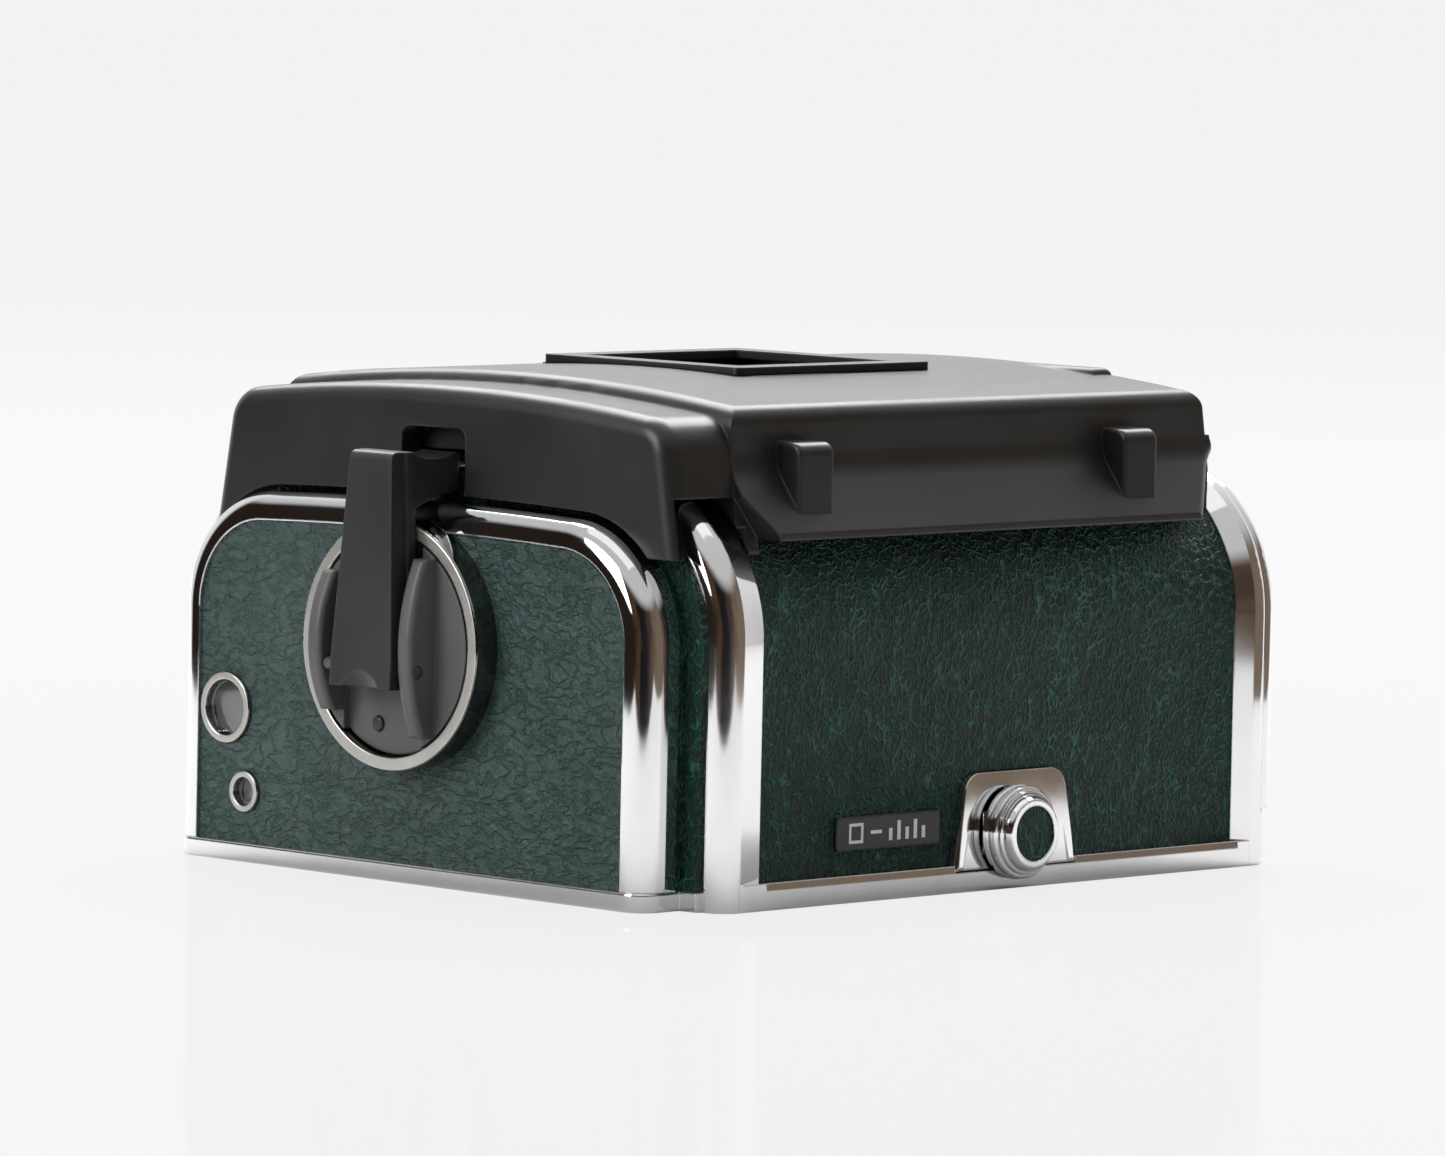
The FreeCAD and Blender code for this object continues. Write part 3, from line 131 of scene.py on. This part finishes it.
class Material(Graph):
    """A material's node tree round its Principled shader."""

    def __init__(self, name):
        self.material = bpy.data.materials.new(name)
        self.material.use_nodes = True
        super().__init__(self.material.node_tree)
        self.shader = self.nodes["Principled BSDF"]
        self.place = self.add("ShaderNodeTexCoord").outputs["Object"]

    def set(self, **values):
        """Sets the shader's own sockets; an underscore stands for a space."""
        for key, value in values.items():
            self.shader.inputs[key.replace("_", " ")].default_value = value

    def stretched(self, scale):
        """Object coordinates scaled by three factors."""
        return self.mapped(self.place, scale)

    def noise(self, scale, detail=3.0, roughness=0.5, place=None, warp=0.0):
        node = self.noise_node(place or self.place, scale, detail)
        node.inputs["Roughness"].default_value = roughness
        node.inputs["Distortion"].default_value = warp
        return node.outputs["Fac"]

    def cell_edges(self, scale, place):
        """Distance to the nearest border of a pattern of cells."""
        node = self.add("ShaderNodeTexVoronoi", feature="DISTANCE_TO_EDGE")
        node.inputs["Scale"].default_value = scale
        self.join(place, node.inputs["Vector"])
        return node.outputs["Distance"]

    def warped(self, place, scale, amount):
        """A position pushed about by noise, in metres."""
        push = self.noise_node(place, scale, 2.0)
        centred = self.vector("SUBTRACT", push.outputs["Color"], (0.5, 0.5, 0.5))
        scaled = self.add("ShaderNodeVectorMath", operation="SCALE")
        scaled.inputs["Scale"].default_value = amount
        self.join(centred.outputs["Vector"], scaled.inputs[0])
        return self.vector("ADD", place, scaled.outputs["Vector"]).outputs["Vector"]

    def ridges(self, source, width):
        """1 where a noise passes its middle value, falling to 0 on both sides."""
        off = self.maths("ABSOLUTE", self.maths("SUBTRACT", source, 0.5))
        return self.remap(off, 0.0, width, 1.0, 0.0)

    def normal_part(self, axis):
        """One part of the surface normal, by its axis letter."""
        split = self.add("ShaderNodeSeparateXYZ")
        self.join(self.add("ShaderNodeNewGeometry").outputs["Normal"], split.inputs[0])
        return split.outputs[axis]

    def bump(self, height, distance, strength=1.0, normal=None):
        node = self.add("ShaderNodeBump")
        node.inputs["Strength"].default_value = strength
        node.inputs["Distance"].default_value = distance
        self.join(height, node.inputs["Height"])
        if normal is not None:
            self.join(normal, node.inputs["Normal"])
        return node.outputs["Normal"]

    def soft_edges(self, radius):
        """Normal that rounds the mesh's sharp edges a little, as polishing or moulding does."""
        node = self.add("ShaderNodeBevel", samples=6)
        node.inputs["Radius"].default_value = radius
        return node.outputs["Normal"]

    def finish(self, colour=None, roughness=None, normal=None):
        for source, name in ((colour, "Base Color"), (roughness, "Roughness"), (normal, "Normal")):
            if source is not None:
                self.join(source, self.shader.inputs[name])
        return self.material


def grey(value):
    return (value, value, value)


# ---------------------------------------------------------------- materials
POLISHED_EDGE = 0.00028     # edge rounding of the chrome, m
MOULDED_EDGE = 0.0004       # edge rounding of the plastic, m
LEATHER_RELIEF = 0.00038    # depth of the shell leather's bump, m
FACE_RELIEF = 0.00046       # depth of the face leather's bump, m


def chrome():
    """Mirror chrome with a breath of haze and very fine waviness."""
    t = Material("chrome")
    t.set(Metallic=1.0)
    haze = t.noise(90.0, detail=4.0, roughness=0.6)
    roughness = t.remap(haze, 0.35, 0.75, 0.035, 0.09)
    colour = t.ramp(haze, ((0.3, (0.74, 0.74, 0.75)), (0.8, (0.82, 0.82, 0.83))))
    wave = t.noise(240.0, detail=1.0, roughness=0.4)
    return t.finish(colour, roughness, t.bump(wave, 0.00001, 0.25, t.soft_edges(POLISHED_EDGE)))


def satin_metal():
    """Turned ring: satin on the faces that point along X, polished on its walls, whose colour is darkened
    there as painted dark reflection.
    """
    t = Material("satin_metal")
    t.set(Metallic=1.0)
    wall = t.remap(t.maths("ABSOLUTE", t.normal_part("X")), 0.75, 0.95, 1.0, 0.0)
    grain = t.noise(2600.0, detail=2.0, roughness=0.6)
    # painted reflection: the walls' colour falls to 0.35 of the faces', painting the dark reflections they
    # show
    tone = t.maths("MULTIPLY", t.noise(180.0), t.remap(wall, 0.0, 1.0, 1.0, 0.35))
    stops = ((0.1, (0.13, 0.13, 0.13)), (0.32, (0.48, 0.47, 0.44)), (0.75, (0.57, 0.56, 0.53)))
    colour = t.ramp(tone, stops)
    satin = t.remap(grain, 0.3, 0.7, 0.34, 0.46)
    rough = t.maths("SUBTRACT", satin, t.maths("MULTIPLY", wall, 0.3))
    return t.finish(colour, rough, t.bump(grain, 0.000012, 0.35))


def wrapped_leather():
    """Leather of the shell: dark green pebbles, fine raised veins and coarser upright ones among them; the
    veins' bright green is partly their own colour and partly painted highlight.
    """
    t = Material("green_leather_wrap")
    t.set(IOR=1.42, Specular_IOR_Level=0.38)
    fine_place = t.warped(t.stretched((1.0, 1.0, 0.66)), 380.0, 0.0013)
    coarse_place = t.warped(t.stretched((1.0, 1.0, 0.5)), 210.0, 0.0026)
    fine = t.remap(t.cell_edges(1250.0, fine_place), 0.0, 0.15, 1.0, 0.0)
    coarse = t.remap(t.cell_edges(520.0, coarse_place), 0.0, 0.055, 1.0, 0.0)
    streak = t.noise(420.0, detail=5.0, roughness=0.7, place=t.stretched((1.0, 1.0, 0.25)), warp=0.8)
    patch = t.noise(55.0, detail=4.0, roughness=0.6, warp=0.6)
    fine_green = t.maths("MULTIPLY", fine, t.remap(streak, 0.38, 0.62, 0.30, 0.75))
    coarse_green = t.maths("MULTIPLY", coarse, t.remap(streak, 0.40, 0.60, 0.25, 0.65))
    green = t.maths("ADD", fine_green, coarse_green)
    green = t.maths("MULTIPLY", green, t.remap(patch, 0.35, 0.62, 0.6, 1.15))
    # the bright end is partly the veins' own green and partly painted highlight on the raised ridges
    stops = (
        (0.0, (0.0070, 0.0240, 0.0185)), (0.35, (0.0095, 0.0520, 0.0370)), (1.0, (0.0320, 0.1900, 0.1280)),
    )
    pores = t.noise(1200.0, detail=3.0, roughness=0.6, place=fine_place)
    height = t.maths("MULTIPLY", pores, 0.8)
    for relief, share in ((fine, 0.7), (coarse, 0.6), (streak, 0.7)):
        height = t.maths("ADD", height, t.maths("MULTIPLY", relief, share))
    rough = t.remap(green, 0.0, 1.0, 0.42, 0.34)
    return t.finish(t.ramp(green, stops), rough, t.bump(height, LEATHER_RELIEF))


def face_leather():
    """Leather of the crank's face: flat pebbles between fine slanting wrinkles, which painted shade
    darkens.
    """
    t = Material("green_leather_face")
    t.set(IOR=1.45)
    grain_place = t.warped(t.stretched((1.0, 0.6, 1.0)), 420.0, 0.0012)
    grain = t.noise(1300.0, detail=3.0, roughness=0.6, place=grain_place, warp=0.3)
    wrinkle_place = t.warped(t.stretched((1.0, 0.5, 1.0)), 260.0, 0.0022)
    wrinkle = t.ridges(t.noise(620.0, detail=3.0, roughness=0.55, place=wrinkle_place), 0.05)
    patch = t.noise(60.0, detail=4.0, roughness=0.6, warp=0.5)
    pore = t.noise(2600.0, detail=3.0, roughness=0.6)
    tone = t.maths("ADD", t.remap(grain, 0.3, 0.7, 0.1, 0.5), t.maths("MULTIPLY", pore, 0.35))
    # painted shade: the wrinkles' colour is darkened as if shade lay in the creases
    tone = t.maths("SUBTRACT", tone, t.maths("MULTIPLY", wrinkle, 0.22))
    tone = t.maths("ADD", tone, t.remap(patch, 0.3, 0.7, -0.15, 0.2))
    stops = ((0.1, (0.011, 0.036, 0.031)), (0.5, (0.026, 0.057, 0.052)), (0.95, (0.056, 0.092, 0.086)))
    height = t.maths("ADD", grain, t.maths("MULTIPLY", pore, 0.2))
    height = t.maths("SUBTRACT", height, t.maths("MULTIPLY", wrinkle, 0.35))
    rough = t.remap(tone, 0.0, 1.0, 0.48, 0.34)
    return t.finish(t.ramp(tone, stops), rough, t.bump(height, FACE_RELIEF))


def moulded_black(name, shade, roughness, grain):
    """Black moulding with a fine satin texture."""
    t = Material(name)
    fine = t.noise(grain, detail=2.0, roughness=0.6)
    broad = t.noise(70.0, detail=4.0, roughness=0.55)
    colour = t.ramp(broad, ((0.3, grey(shade * 0.85)), (0.75, grey(shade * 1.2))))
    rough = t.remap(broad, 0.3, 0.7, roughness - 0.03, roughness + 0.04)
    return t.finish(colour, rough, t.bump(fine, 0.00003, 0.3, t.soft_edges(MOULDED_EDGE)))


def machined(name, colour_low, colour_high, roughness):
    """Plain metal with brushed streaks."""
    t = Material(name)
    t.set(Metallic=1.0)
    streak = t.noise(700.0, detail=3.0, roughness=0.6, place=t.stretched((0.15, 1.0, 1.0)))
    colour = t.ramp(streak, ((0.3, colour_low), (0.75, colour_high)))
    rough = t.remap(streak, 0.3, 0.7, roughness - 0.05, roughness + 0.07)
    return t.finish(colour, rough, t.bump(streak, 0.00002, 0.3))


def clear_glass():
    """Thin window with a trace of dust."""
    t = Material("window_glass")
    t.set(Roughness=0.02, IOR=1.5, Transmission_Weight=1.0)
    dust = t.noise(900.0, detail=3.0, roughness=0.7)
    return t.finish(t.ramp(dust, ((0.4, (0.93, 0.95, 0.96)), (0.8, (0.97, 0.98, 0.98)))))


def enamel(name, low, high):
    """Paint that varies a little between two colours."""
    t = Material(name)
    tone = t.noise(260.0)
    return t.finish(t.ramp(tone, ((0.3, low), (0.75, high))), t.remap(tone, 0.3, 0.7, 0.4, 0.5))


def velvet():
    """Black pile of the light trap."""
    t = Material("velvet")
    t.set(Sheen_Weight=0.6)
    pile = t.noise(4000.0, detail=2.0, roughness=0.7)
    return t.finish(t.ramp(pile, ((0.3, grey(0.01)), (0.7, grey(0.035)))), None, t.bump(pile, 0.0001, 0.6))


WRAPPED_LEATHER = wrapped_leather()
# painted light: the crank's black made about four times lighter for the disc and its pin, which the arm
# shades
LIGHTENED_DISC_BLACK = moulded_black("disc_black_painted_light", 0.085, 0.42, 2300.0)
MARK_WHITE = enamel("mark_white", grey(0.72), grey(0.8))
OWN_MATERIALS = {
    "shell_leather": WRAPPED_LEATHER,
    "crank_strip_leather": WRAPPED_LEATHER,
    "insert_leather": WRAPPED_LEATHER,
    "button_inlay": WRAPPED_LEATHER,
    "crank_disc": LIGHTENED_DISC_BLACK,
    "crank_hinge_pin": LIGHTENED_DISC_BLACK,
}
SLOT_MATERIALS = {
    "chrome": chrome(),
    "satin_metal": satin_metal(),
    "green_leather": face_leather(),
    "black_plastic": moulded_black("black_plastic", 0.0150, 0.36, 1900.0),
    "crank_black": moulded_black("crank_black", 0.021, 0.40, 2300.0),
    "black_paint": moulded_black("black_paint", 0.02, 0.5, 1500.0),
    "label_black": moulded_black("label_black", 0.012, 0.3, 1800.0),
    "casting": machined("casting", grey(0.05), grey(0.09), 0.5),
    "steel": machined("steel", grey(0.55), grey(0.68), 0.28),
    "brass": machined("brass", (0.55, 0.40, 0.16), (0.72, 0.55, 0.26), 0.3),
    "window_glass": clear_glass(),
    "dial_grey": enamel("dial_grey", (0.15, 0.155, 0.165), (0.19, 0.195, 0.205)),
    "velvet": velvet(),
    "spool_plastic": moulded_black("spool_plastic", 0.02, 0.42, 1700.0),
}


def smooth(obj, degrees=32.0):
    """Smooth shading that keeps corners sharper than the angle."""
    mesh = obj.data
    mesh.shade_smooth()
    mesh.set_sharp_from_angle(angle=math.radians(degrees))


def dress_cad_nodes():
    """Gives each CAD node its own material, or the one of its slot."""
    for row in frame["record"]["subparts"]:
        obj = frame["nodes"][row["node"]]
        obj.data.materials.clear()
        obj.data.materials.append(OWN_MATERIALS.get(row["node"], SLOT_MATERIALS[row["material_slot"]]))
        smooth(obj)


dress_cad_nodes()


# ---------------------------------------------------------------- camera
CAMERA_PLACE = Vector((-765.96, -752.46, 114.60)) * MM
CAMERA_YAW, CAMERA_PITCH, CAMERA_ROLL = (math.radians(angle) for angle in (44.65, -4.36, 1.18))
FOCAL_LENGTH, SENSOR_WIDTH = 226.5, 36.0


def make_camera():
    """Looks at the corner between the crank's side and the button's side from a little above."""
    level = math.cos(CAMERA_PITCH)
    ahead = Vector((math.cos(CAMERA_YAW) * level, math.sin(CAMERA_YAW) * level, math.sin(CAMERA_PITCH)))
    data = bpy.data.cameras.new("camera")
    data.lens, data.sensor_width = FOCAL_LENGTH, SENSOR_WIDTH
    data.clip_start, data.clip_end = 0.05, 100.0
    camera = bpy.data.objects.new("camera", data)
    camera.rotation_mode = "QUATERNION"
    upright = ahead.to_track_quat("-Z", "Y")
    camera.rotation_quaternion = upright @ Quaternion((0.0, 0.0, 1.0), CAMERA_ROLL)
    camera.location = CAMERA_PLACE
    bpy.context.scene.collection.objects.link(camera)
    bpy.context.scene.camera = camera


make_camera()


# ---------------------------------------------------------------- printed mark
MARK_HEIGHT = 0.03      # how far the mark stands off its plate, mm
SIGN_LINE = 0.35        # line width of the frame sign, mm
BAR_COUNT, BAR_PITCH, BAR_WIDTH = 5, 1.35, 0.55


def flat_mark(rectangles, y, depth):
    """Thin raised rectangles (x0, x1, z0, z1) on an upright face, in millimetres."""
    bm = bmesh.new()
    for x0, x1, z0, z1 in rectangles:
        for vertex in bmesh.ops.create_cube(bm, size=1.0)["verts"]:
            vertex.co.x = x0 + (vertex.co.x + 0.5) * (x1 - x0)
            vertex.co.y = y - depth / 2 + vertex.co.y * depth
            vertex.co.z = z0 + (vertex.co.z + 0.5) * (z1 - z0)
            vertex.co *= MM
    mesh = bpy.data.meshes.new("label_mark")
    bm.to_mesh(mesh)
    return mesh


def square_outline(x, z, half, line):
    """Four bars round a square."""
    return [
        (x - half, x + half, z - half, z - half + line),
        (x - half, x + half, z + half - line, z + half),
        (x - half, x - half + line, z - half + line, z + half - line),
        (x + half - line, x + half, z - half + line, z + half - line),
    ]


def make_label_mark():
    """A frame sign, a dash and a scale of bars in place of lettering."""
    low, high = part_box("label_plate")
    middle = (low.z + high.z) / 2 / MM
    left = low.x / MM
    shapes = square_outline(left + 3.2, middle, 1.15, SIGN_LINE)
    shapes.append((left + 5.6, left + 7.4, middle - 0.2, middle + 0.2))
    for step in range(BAR_COUNT):
        start = left + 8.6 + step * BAR_PITCH
        top = 1.1 if step % 2 else 0.3
        shapes.append((start, start + BAR_WIDTH, middle - 1.1, middle + top))
    mark = bpy.data.objects.new("label_mark", flat_mark(shapes, low.y / MM, MARK_HEIGHT))
    bpy.context.scene.collection.objects.link(mark)
    mark.data.materials.append(MARK_WHITE)
    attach(mark, "shell")


make_label_mark()


# ---------------------------------------------------------------- floor and light
TOWARDS_CAMERA = Vector((-0.7071, -0.7071, 0.0))
ACROSS = Vector((TOWARDS_CAMERA.y, -TOWARDS_CAMERA.x, 0.0))
PALE = 0.93             # brightness of the floor that the camera sees
HORIZON = 0.955         # share of it that is left above the horizon
TABLE_WHITE = 0.64      # how white the table is in the object's reflections
TABLE_END = 0.263       # where the table ends towards the camera, m
FLOOR_REACH = 9.0
FLOOR_RISE = 0.00002    # keeps the seen floor just above the table, m
SHADE_SHARE, GLOSS_SHARE = 0.06, 0.06
TABLE_CORNERS = (
    (TABLE_END, -0.22), (TABLE_END, 0.22), (0.0, 0.28), (-0.3, 0.32),
    (-FLOOR_REACH, 4.0), (-FLOOR_REACH, -4.0), (-0.3, -0.32), (0.0, -0.28),
)
FLOOR_CORNERS = (
    (FLOOR_REACH, -FLOOR_REACH), (FLOOR_REACH, FLOOR_REACH),
    (-FLOOR_REACH, FLOOR_REACH), (-FLOOR_REACH, -FLOOR_REACH),
)


def white_diffuse(t):
    """Diffuse shader in the table's white."""
    node = t.add("ShaderNodeBsdfDiffuse")
    node.inputs["Color"].default_value = (*grey(TABLE_WHITE), 1)
    return node.outputs[0]


def table_white():
    """Matt white of the table as the object mirrors it."""
    t = Material("table_white")
    t.join(white_diffuse(t), t.nodes["Material Output"].inputs["Surface"])
    return t.material


def floor_white():
    """Even pale floor with a little of the object's shade and of its mirror image."""
    t = Material("floor_white")
    glow = t.add("ShaderNodeEmission")
    glow.inputs["Color"].default_value = (1, 1, 1, 1)
    glow.inputs["Strength"].default_value = PALE
    gloss = t.add("ShaderNodeBsdfGlossy")
    gloss.inputs["Roughness"].default_value = 0.05
    shaded = t.mix(SHADE_SHARE, glow.outputs[0], white_diffuse(t))
    polished = t.mix(GLOSS_SHARE, shaded, gloss.outputs[0])
    t.join(polished, t.nodes["Material Output"].inputs["Surface"])
    return t.material


def stage_sheet(name, corners, z, material):
    """Flat sheet under the object; corners are distances towards the camera and across its line."""
    bm = bmesh.new()
    rise = Vector((0.0, 0.0, z))
    bm.faces.new([bm.verts.new(TOWARDS_CAMERA * a + ACROSS * b + rise) for a, b in corners])
    bmesh.ops.recalc_face_normals(bm, faces=bm.faces)
    mesh = bpy.data.meshes.new(name)
    bm.to_mesh(mesh)
    mesh.materials.append(material)
    sheet = bpy.data.objects.new(name, mesh)
    bpy.context.scene.collection.objects.link(sheet)
    return sheet


def make_floor():
    """A table for the object's reflections, and over it a wide floor that only the camera sees."""
    stage_sheet("floor", TABLE_CORNERS, 0.0, table_white())
    wide = stage_sheet("floor_around", FLOOR_CORNERS, FLOOR_RISE, floor_white())
    wide.visible_diffuse = wide.visible_glossy = wide.visible_transmission = wide.visible_shadow = False


def area_light(name, place, target, size, power):
    data = bpy.data.lights.new(name, "AREA")
    data.shape, data.size, data.size_y = "RECTANGLE", size[0], size[1]
    data.energy = power
    lamp = bpy.data.objects.new(name, data)
    lamp.location = place
    lamp.rotation_mode = "QUATERNION"
    lamp.rotation_quaternion = (Vector(target) - Vector(place)).to_track_quat("-Z", "Y")
    bpy.context.scene.collection.objects.link(lamp)


ROOM_STARTS = (-0.62, -0.38)        # how far towards the camera a ray points where the room fades in
ROOM_WIDTH = (-0.75, 1.25)          # sideways range that the room's colours are spread over
CEILING_STARTS = (0.42, 0.62)       # height of a ray where the room's ceiling fades in
CLUTTER_SCALE, CLUTTER_SHIFT = (4.5, 4.5, 5.0), 0.5
CEILING = (*grey(0.62), 1)
STUDIO = (*grey(0.86), 1)
ROOM_COLOURS = (
    (0.05, (0.20, 0.15, 0.11)), (0.22, (0.085, 0.055, 0.038)), (0.40, (0.016, 0.017, 0.024)),
    (0.60, (0.012, 0.010, 0.009)), (0.72, (0.080, 0.047, 0.028)), (0.90, (0.020, 0.014, 0.011)),
)


def make_world():
    """Pale to the camera; for reflections, a pale studio behind and a brown room in front."""
    world = bpy.data.worlds.new("studio")
    world.use_nodes = True
    t = Graph(world.node_tree)
    t.nodes.clear()
    heading = t.add("ShaderNodeTexCoord").outputs["Generated"]

    # the room: patches of colour from side to side, under a pale ceiling
    sideways = t.vector("DOT_PRODUCT", heading, ACROSS).outputs["Value"]
    clutter = t.noise_node(t.mapped(heading, CLUTTER_SCALE), 1.0, 1.0).outputs["Fac"]
    turn = t.remap(t.maths("MULTIPLY_ADD", clutter, CLUTTER_SHIFT, sideways), *ROOM_WIDTH)
    split = t.add("ShaderNodeSeparateXYZ")
    t.join(heading, split.inputs[0])
    height = t.remap(split.outputs["Z"], *CEILING_STARTS, curve="SMOOTHSTEP")
    ceiling = t.add("ShaderNodeMix", data_type="RGBA")
    first, second = [socket for socket in ceiling.inputs if socket.type == "RGBA"]
    second.default_value = CEILING
    t.join(height, ceiling.inputs["Factor"])
    t.join(t.ramp(turn, ROOM_COLOURS), first)
    room = t.add("ShaderNodeBackground")
    t.join([socket for socket in ceiling.outputs if socket.type == "RGBA"][0], room.inputs["Color"])

    studio = t.add("ShaderNodeBackground")
    studio.inputs["Color"].default_value = STUDIO
    facing = t.vector("DOT_PRODUCT", heading, TOWARDS_CAMERA).outputs["Value"]
    around = t.mix(t.remap(facing, *ROOM_STARTS, curve="SMOOTHSTEP"), studio.outputs[0], room.outputs[0])

    pale = t.add("ShaderNodeBackground")
    pale.inputs["Color"].default_value = (*grey(PALE * HORIZON), 1)
    seen = t.add("ShaderNodeLightPath").outputs["Is Camera Ray"]
    out = t.add("ShaderNodeOutputWorld")
    t.join(t.mix(seen, around, pale.outputs[0]), out.inputs["Surface"])
    bpy.context.scene.world = world


make_floor()
make_world()
area_light("top", (0.0, 0.0, 1.1), (0, 0, 0), (1.0, 1.0), 1.5)
area_light("behind", (0.50, 0.50, 0.90), (0, 0, 0.03), (1.1, 0.8), 20.0)
area_light("left", (-1.15, 0.35, 0.55), (0, 0, 0.03), (0.7, 0.7), 10.0)
bpy.context.scene.view_settings.view_transform = "Standard"
